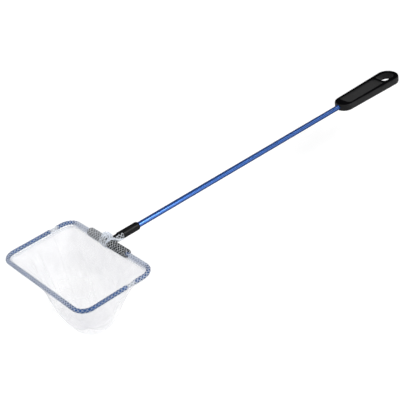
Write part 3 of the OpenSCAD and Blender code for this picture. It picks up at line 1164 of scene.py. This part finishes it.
    def wall(self, phi: np.ndarray, t: np.ndarray, inward: float = 0.0) -> np.ndarray:
        """Points of the cloth: the axis + the reach in the angle's direction, swayed sideways and let down.

        Args:
            phi: angles round the bag.
            t: heights; below 0 the cloth rises into the hem's band.
            inward: how far inside the cloth the points lie.

        Returns:
            A point for each.
        """
        reach = self.reach(phi, t) + self.fold(phi, t) - inward
        x = self.hoop.middle_x + reach * np.cos(phi)
        y = HOOP_Y + reach * np.sin(phi) + self.sway * np.maximum(t, 0)
        z = self.top_z - (self.depth - self.inset) * t
        return np.stack([x, y, z], -1)

    def cover(self, phi: np.ndarray, t: np.ndarray) -> np.ndarray:
        """What the cloth's place adds to the share that it hides: thinner halfway down, thicker at the foot.

        Args:
            phi: angles round the bag.
            t: heights.

        Returns:
            The share for each.
        """
        near = ramp(np.cos(phi - self.near_phi), *self.near_range)
        cover = self.base_cover - self.middle_thin * ramp(t, *self.middle_range)
        cover = cover + self.foot_thick * ramp(t, *self.foot_range) - self.near_thin * near
        return cover + self.mottle.at(phi, t)

    def panel(
        self, name: str, start: float, end: float, columns: int, material: Material, node: str
    ) -> Piece:
        """One panel between two angles, from inside the hem's band down to the foot.

        Args:
            name: the piece's name.
            start: first angle round the bag.
            end: last angle.
            columns: points across it.
            material: its finish.
            node: the CAD node that it stands for.

        Returns:
            The piece.
        """
        tuck = np.linspace(-self.tuck / self.depth, 0, self.tuck_rings + 1)[:-1]
        down = 1 - (1 - np.linspace(0, 1, self.rings)) ** 2
        t, phi = np.meshgrid(np.concatenate([tuck, down]), np.linspace(start, end, columns), indexing="ij")
        points = self.wall(phi, t)
        points[-1] = points[-1].mean(axis=0)
        rim = lengths(points[self.tuck_rings : self.tuck_rings + 1], 1)
        depth = lengths(points, 0)
        uv = np.stack([np.broadcast_to(rim, depth.shape), depth], -1)
        piece = surface(name, points, uv, cover=self.cover(phi, t), weld=1e-3)
        area = sum(p.area for p in piece.data.polygons)
        LOG.info("%s: cloth area %.5f m2, rim %.4f m", name, area, float(rim[0, -1]))
        return place_piece(piece, material, Slot.MESH, node)

    def seam(self, material: Material) -> Piece:
        """The rolled seam inside the bag: a flat round roll down one side, under the foot and up the other.

        Args:
            material: its finish.

        Returns:
            The piece.
        """
        t = 1 - (1 - np.linspace(0, self.roll_end, self.roll_rings)) ** 2
        phi = np.full_like(t, self.seam_phi)
        left = self.wall(phi, t, self.roll_inward)
        right = self.wall(-phi, t, self.roll_inward)[::-1]
        path = np.concatenate([left, right])
        along = unit(np.gradient(path, axis=0))
        outward = path - [self.hoop.middle_x, HOOP_Y, 0.0]
        outward[:, 2] = 0
        outward = unit(outward - (outward * along).sum(1, keepdims=True) * along)
        turn = around(self.roll_sides)
        swell = 1 + self.roll_swell * np.sin(lengths(path, 0) / MM * self.roll_waves)
        thick, wide = self.roll_half
        section = np.stack([thick * np.cos(turn), wide * np.sin(turn)], -1) * swell[:, None, None]
        axes = (outward, np.cross(along, outward))
        piece = roll("bag_seam_roll", path, axes, section, self.roll_girth, self.roll_cover)
        return place_piece(piece, material, Slot.THREAD, "bag_seam")


@dataclass
class Stitching:
    """The stitches that close the hem's band: short capsules along its inner and outer face.

    They are sunk into the cloth, and each is tilted and set higher or lower by chance, within about tilt
    and waver.
    """

    hoop: Hoop
    sizes: Sizes
    pitch: float = 3.1
    length: float = 2.3
    thick: float = 0.27
    sink: float = 0.18
    tilt: float = 0.05
    waver: float = 0.08
    seed: int = 12
    rings: int = 7
    sides: int = 6

    def capsule(self) -> np.ndarray:
        """One stitch: a circle carried along a short line, its radius falling to nothing at each end.

        Returns:
            (rings, sides, 3) places along, across and up.
        """
        along = np.linspace(-1, 1, self.rings)
        swell = self.thick * np.sqrt(np.maximum(1 - along**4, 0))[:, None]
        turn = around(self.sides)
        x = np.broadcast_to((along * self.length / 2)[:, None], (self.rings, self.sides))
        return np.stack([x, swell * np.cos(turn), swell * np.sin(turn)], -1)

    def build(self, material: Material) -> Piece:
        """All the stitches: the capsule's three axes turned along the hoop, outwards and up at each place.

        Args:
            material: their finish.

        Returns:
            The piece.
        """
        z = self.sizes
        arm = z.arm_half + z.arm_taper
        s = np.arange(arm - HOOP_Y, self.hoop.total - arm - HOOP_Y, self.pitch)
        rng = np.random.default_rng(self.seed)
        places = np.concatenate([s, s + self.pitch / 2])
        face = np.repeat([-z.band_in - self.sink, -z.band_out + self.sink], len(s))
        centre, out = self.hoop.at(places)
        along = np.stack([-out[:, 1], out[:, 0], 0 * places], -1)
        tilt = rng.normal(0, self.tilt, len(places))[:, None]
        up = np.tile([0.0, 0.0, 1.0], (len(places), 1))
        lie = along * np.cos(tilt) + up * np.sin(tilt)
        rise = up * np.cos(tilt) - along * np.sin(tilt)
        height = z.stitch_z + rng.normal(0, self.waver, len(places))
        centre = centre + out * face[:, None] + up * height[:, None]
        shape = self.capsule()[None]
        axes = (axis[:, None, None] for axis in (lie, out, rise))
        points = centre[:, None, None] + sum(shape[..., k : k + 1] * axis for k, axis in enumerate(axes))
        return place_piece(self.joined(points), material, Slot.THREAD, "hem_stitching")

    @staticmethod
    def joined(points: np.ndarray) -> Piece:
        """Puts many small closed shapes into one mesh.

        Args:
            points: (count, n, m, 3) grids whose first and last rings are a point each.

        Returns:
            The piece.
        """
        count, n, m = points.shape[:3]
        first = np.arange(count)[:, None, None] * n * m
        faces = (grid_quads(n, m, OPEN_ROUND)[None] + first).reshape(-1, 4)
        mesh = bpy.data.meshes.new("hem_stitches")
        mesh.from_pydata((points.reshape(-1, 3) * MM).tolist(), [], faces.tolist())
        merge_points(mesh, distance=0.01, face_out=True)
        return add_piece(mesh)


@dataclass
class NeckGather:
    """The mesh that is gathered round the middle of the T, with pleats that stand up, and along its stem.

    The arcs are degrees and the grids points round and along, or along and round for the stem. pleats holds
    (place along the arm, width, height), and pleat_lean the (reach, turns, start) of the wave by which a
    pleat wanders round the ring. crests holds (height, angle, half angle) of the places where pleats stand
    up, over the low height of the rest. edge_tuck is (depth, width) of the drawn in edges.

    The stem's mesh flares at its end near the net and at the far one, and it hides more near the net. knots
    are the (x, y, z) that the rolled fold runs through, with x from the middle of the T. fold_half is half
    its width and thickness, which shrink to the share fold_tip at its ends, where fold_round rounds it off.
    """

    span: Pair = (-5.6, 10.4)
    radius: float = 5.7
    ring_arc: Pair = (38.0, 322.0)
    ring_grid: tuple[int, int] = (90, 120)
    pleats: tuple[Triple, ...] = ((-3.4, 0.8, 0.6), (0.2, 0.75, 0.9), (3.8, 0.7, 1.0), (7.6, 0.8, 0.75))
    pleat_lean: Triple = (1.2, 2.0, 0.5)
    low_pleat: float = 0.6
    crests: tuple[Triple, ...] = ((5.4, 1.25, 0.55), (0.8, 3.1, 0.8))
    ring_creases: Ripple = Ripple(0.25, 6.0, 1.0, 7, 2)
    edge_tuck: Pair = (0.25, 1.5)
    pleat_cover: float = 0.55
    ring_cover: float = 0.22
    ring_mottle: Ripple = Ripple(0.2, 3.0, 0.7, 5, 9)
    stem_radius: float = 4.75
    stem_span: Pair = (4.2, 18.2)
    stem_arc: Pair = (96.0, 328.0)
    stem_grid: tuple[int, int] = (50, 60)
    far_flare: float = 0.5
    far_flare_at: Pair = (9.0, 13.0)
    net_flare: float = 0.9
    net_flare_at: Pair = (4.0, 9.0)
    stem_creases: Ripple = Ripple(0.12, 1.4, 5.0, 9, 13)
    stem_cover: float = 0.12
    stem_mottle: Ripple = Ripple(0.10, 1.0, 2.0, 5, 17)
    net_cover: float = 0.25
    net_cover_at: Pair = (5.0, 8.0)
    knots: tuple[Triple, ...] = (
        (-5.8, -1.0, 1.0), (-4.0, -3.0, 4.6), (0.0, -4.6, 6.3), (4.6, -5.4, 4.8), (8.6, -5.6, 1.6),
        (13.0, -5.4, -0.8), (17.4, -5.0, -2.2),
    )
    fold_half: Pair = (1.7, 0.7)
    fold_up: Triple = (0.15, -0.35, 0.92)
    fold_rings: int = 60
    fold_sides: int = 16
    fold_tip: float = 0.25
    fold_round: float = 0.02
    fold_cover: float = 0.8

    def ring(self, material: Material) -> Piece:
        """The gathered middle: a ring round the T, open at the stem, with sharp pleats that stand up behind.

        Radius = base + pleat height at that angle * how sharp the pleat is at that place along the arm, and
        a pleat is a bell curve.

        Args:
            material: its finish.

        Returns:
            The piece.
        """
        y = np.linspace(*self.span, self.ring_grid[1])
        a, w = np.meshgrid(np.radians(np.linspace(*self.ring_arc, self.ring_grid[0])), y, indexing="ij")
        reach, turns, start = self.pleat_lean
        lean = w + reach * np.sin(a * turns + start)
        pleat = sum(height * bell((lean - place) / width) for place, width, height in self.pleats)
        tall = sum((height * bell((a - place) / half) for height, place, half in self.crests), self.low_pleat)
        depth, width = self.edge_tuck
        from_end = np.minimum(w - self.span[0], self.span[1] - w)
        r = self.radius + pleat * tall + self.ring_creases.at(a, w) - depth * (1 - ramp(from_end, 0, width))
        points = np.stack([REAR_X + r * np.cos(a), w, r * np.sin(a)], -1)
        uv = np.stack([np.broadcast_to(y * MM, r.shape), lengths(points, 0)], -1)
        cover = self.pleat_cover * np.clip(pleat, 0, 1) + self.ring_cover + self.ring_mottle.at(a, w)
        return place_piece(surface("neck_gather", points, uv, cover=cover), material, Slot.MESH, "neck_wrap")

    def stem(self, material: Material) -> Piece:
        """Mesh along the lower right side of the stem: part of a tube, wider at its ends.

        Radius = base + a flare at each end + small creases.

        Args:
            material: its finish.

        Returns:
            The piece.
        """
        x = np.linspace(*self.stem_span, self.stem_grid[0])
        w, a = np.meshgrid(x, np.radians(np.linspace(*self.stem_arc, self.stem_grid[1])), indexing="ij")
        flare = self.far_flare * ramp(w, *self.far_flare_at)
        flare = flare + self.net_flare * (1 - ramp(w, *self.net_flare_at))
        r = self.stem_radius + flare + self.stem_creases.at(w, a)
        points = np.stack([REAR_X + w, r * np.sin(a), r * np.cos(a)], -1)
        uv = np.stack([w * MM, lengths(points, 1)], -1)
        thick = self.net_cover * (1 - ramp(w, *self.net_cover_at))
        cover = self.stem_cover + self.stem_mottle.at(w, a) + thick
        return place_piece(surface("stem_mesh", points, uv, cover=cover), material, Slot.MESH)

    def fold(self, material: Material) -> Piece:
        """The rolled white fold from the net's side of the T over to the stem's right side.

        An oval is carried along a smooth curve through the knots, and is scaled by the root of a sine of the
        place along it.

        Args:
            material: its finish.

        Returns:
            The piece.
        """
        knots = np.array(self.knots)
        at = np.linspace(0, 1, len(knots))
        fine = np.linspace(0, 1, self.fold_rings)
        path = np.stack([smooth_curve(at, values, fine) for values in knots.T], -1) + [REAR_X, 0, 0]
        along = unit(np.gradient(path, axis=0))
        up = unit(self.fold_up - (along @ np.array(self.fold_up))[:, None] * along)
        turn = around(self.fold_sides)
        bow = np.sqrt(np.sin(np.clip(fine, self.fold_round, 1 - self.fold_round) * math.pi))
        taper = self.fold_tip + (1 - self.fold_tip) * bow
        wide, thick = self.fold_half
        section = np.stack([wide * np.cos(turn), thick * np.sin(turn)], -1) * taper[:, None, None]
        piece = roll("neck_fold", path, (np.cross(along, up), up), section, girth=1.0, cover=self.fold_cover)
        return place_piece(piece, material, Slot.MESH)


# Studio


@dataclass(frozen=True)
class Lamp:
    """A soft rectangular lamp, in metres and watts."""

    name: str
    place: Triple
    aim: Triple
    size: Pair
    power: float

    def build(self) -> None:
        """Adds the lamp, aimed at its target."""
        data = bpy.data.lights.new(self.name, "AREA")
        data.shape, data.size, data.size_y = "RECTANGLE", *self.size
        data.energy = self.power
        lamp = bpy.data.objects.new(self.name, data)
        lamp.location = self.place
        lamp.rotation_euler = (Vector(self.aim) - Vector(self.place)).to_track_quat("-Z", "Y").to_euler()
        bpy.context.scene.collection.objects.link(lamp)


@dataclass
class Studio:
    """Camera, lamps, pale floor and white surroundings.

    Lengths are metres and the camera's angles degrees. ambient is the white light from all round, and the
    ceiling is grey past the heights in ceiling_edge, which are sines of the elevation.
    """

    eye: Triple = (-0.8902, -0.7577, 0.5797)
    azimuth: float = 36.187
    elevation: float = 32.3245
    roll: float = -9.4641
    lens: float = 85.563
    floor_z: float = -0.0972
    floor_half: float = 8.0
    ambient: float = 0.95
    ceiling: Colour = rgb(0.3, 0.3, 0.3)
    ceiling_edge: Pair = (0.2, 0.5)
    lamps: tuple[Lamp, ...] = (
        Lamp("key_lamp", (0.12, -1.10, 0.98), (-0.42, 0.0, 0.0), (0.42, 0.8), 9.0),
        Lamp("strip_lamp", (0.75, -0.62, 1.10), (-0.15, 0.0, 0.0), (1.3, 0.12), 2.3),
        Lamp("fill_lamp", (-1.35, -0.65, 0.6), (-0.52, 0.0, 0.0), (0.7, 0.7), 3.0),
        Lamp("top_lamp", (-0.9, -0.1, 1.5), (-0.45, 0.0, 0.0), (1.4, 1.4), 9.0),
        Lamp("back_lamp", (-0.5, 1.4, 0.9), (-0.4, 0.0, 0.0), (1.2, 0.8), 7.0),
    )

    def camera(self) -> None:
        """Places the camera as the photograph was taken: a long lens, above and in front of the net."""
        a, e, r = (math.radians(v) for v in (self.azimuth, self.elevation, self.roll))
        forward = Vector((math.sin(a) * math.cos(e), math.cos(a) * math.cos(e), -math.sin(e)))
        level = Vector((math.cos(a), -math.sin(a), 0.0))
        lift = level.cross(forward)
        right = level * math.cos(r) + lift * math.sin(r)
        up = lift * math.cos(r) - level * math.sin(r)
        data = bpy.data.cameras.new("camera")
        data.lens, data.sensor_width = self.lens, 36.0
        data.clip_start, data.clip_end = 0.01, 50.0
        camera = bpy.data.objects.new("camera", data)
        turn = Matrix((right, up, -forward)).transposed().to_4x4()
        camera.matrix_world = Matrix.Translation(self.eye) @ turn
        bpy.context.scene.collection.objects.link(camera)
        bpy.context.scene.camera = camera

    def surroundings(self) -> None:
        """White all round to well above the horizon, with a grey ceiling, and less of it as plain light."""
        world = bpy.data.worlds.new("studio")
        world.use_nodes = True
        nodes = Nodes(world.node_tree)
        background = world.node_tree.nodes["Background"]
        height = nodes.add("SeparateXYZ", {0: nodes.add("TexCoord").outputs["Generated"]}).outputs["Z"]
        overhead = nodes.between(height, *self.ceiling_edge, 0.0, 1.0)
        nodes.feed(background.inputs["Color"], nodes.mix(overhead, rgb(1, 1, 1), self.ceiling))
        strength = nodes.math("ADD", seen_rays(nodes, 1.0 - self.ambient), self.ambient)
        nodes.feed(background.inputs["Strength"], strength)
        bpy.context.scene.world = world

    def floor(self) -> None:
        """A wide level floor under the bag."""
        h, z = self.floor_half, self.floor_z
        corners = np.array([[(-h, -h, z), (-h, h, z)], [(h, -h, z), (h, h, z)]]) / MM
        floor = surface("floor", corners)
        floor.data.materials.append(FloorFinish().build())

    def build(self) -> None:
        """Makes the whole studio."""
        self.camera()
        self.surroundings()
        self.floor()
        for lamp in self.lamps:
            lamp.build()
        bpy.context.scene.view_settings.view_transform = "Standard"


def dress_frame() -> None:
    """Dresses the hard pieces, which are the CAD's own solids."""
    dress_nodes(SATIN_PLASTIC, "grip")
    dress_nodes(GLOSS_PLASTIC, "coupler", "t_connector")
    dress_nodes(BLUE_ANODISED, "rod")
    dress_nodes(DRAWN_STEEL, "frame_wire")
    dress_nodes(BLUE_VINYL, "front_sleeve", "rear_left_sleeve", "rear_right_sleeve")


def hang_cloth() -> None:
    casing_net, bag_net, thread = CASING_NET.build(), BAG_NET.build(), ThreadFinish().build()
    hoop, sizes = Hoop(), Sizes()
    casing = HemCasing(hoop, sizes)
    start, end = sizes.stem_gap - HOOP_Y, hoop.total - sizes.stem_gap - HOOP_Y
    left, right = hoop.side_s(sizes.seam_x, True), hoop.side_s(sizes.seam_x, False)
    hems = [
        casing.build("front_casing", left, right, "front_hem", casing_net),
        casing.build("rear_left_casing", start, left, "rear_left_hem", casing_net),
        casing.build("rear_right_casing", right, end, "rear_right_hem", casing_net),
    ]
    stitches = Stitching(hoop, sizes).build(thread)
    neck = NeckGather()
    gathers = [neck.ring(casing_net), neck.stem(casing_net), neck.fold(casing_net)]

    bag = MeshBag(hoop, sizes)
    phi = bag.seam_phi
    front = bag.panel(
        "bag_front_cloth", phi, TURN - phi, columns=330, material=bag_net, node="bag_front_panel"
    )
    rear = bag.panel("bag_rear_cloth", -phi, phi, columns=230, material=bag_net, node="bag_rear_panel")
    seam = bag.seam(bag_net)


def main() -> None:
    """Builds the studio and the net, piece by piece."""
    logging.basicConfig(level=logging.INFO, format="%(name)s: %(message)s")
    Studio().build()
    dress_frame()
    hang_cloth()


if __name__ == "__main__":
    main()
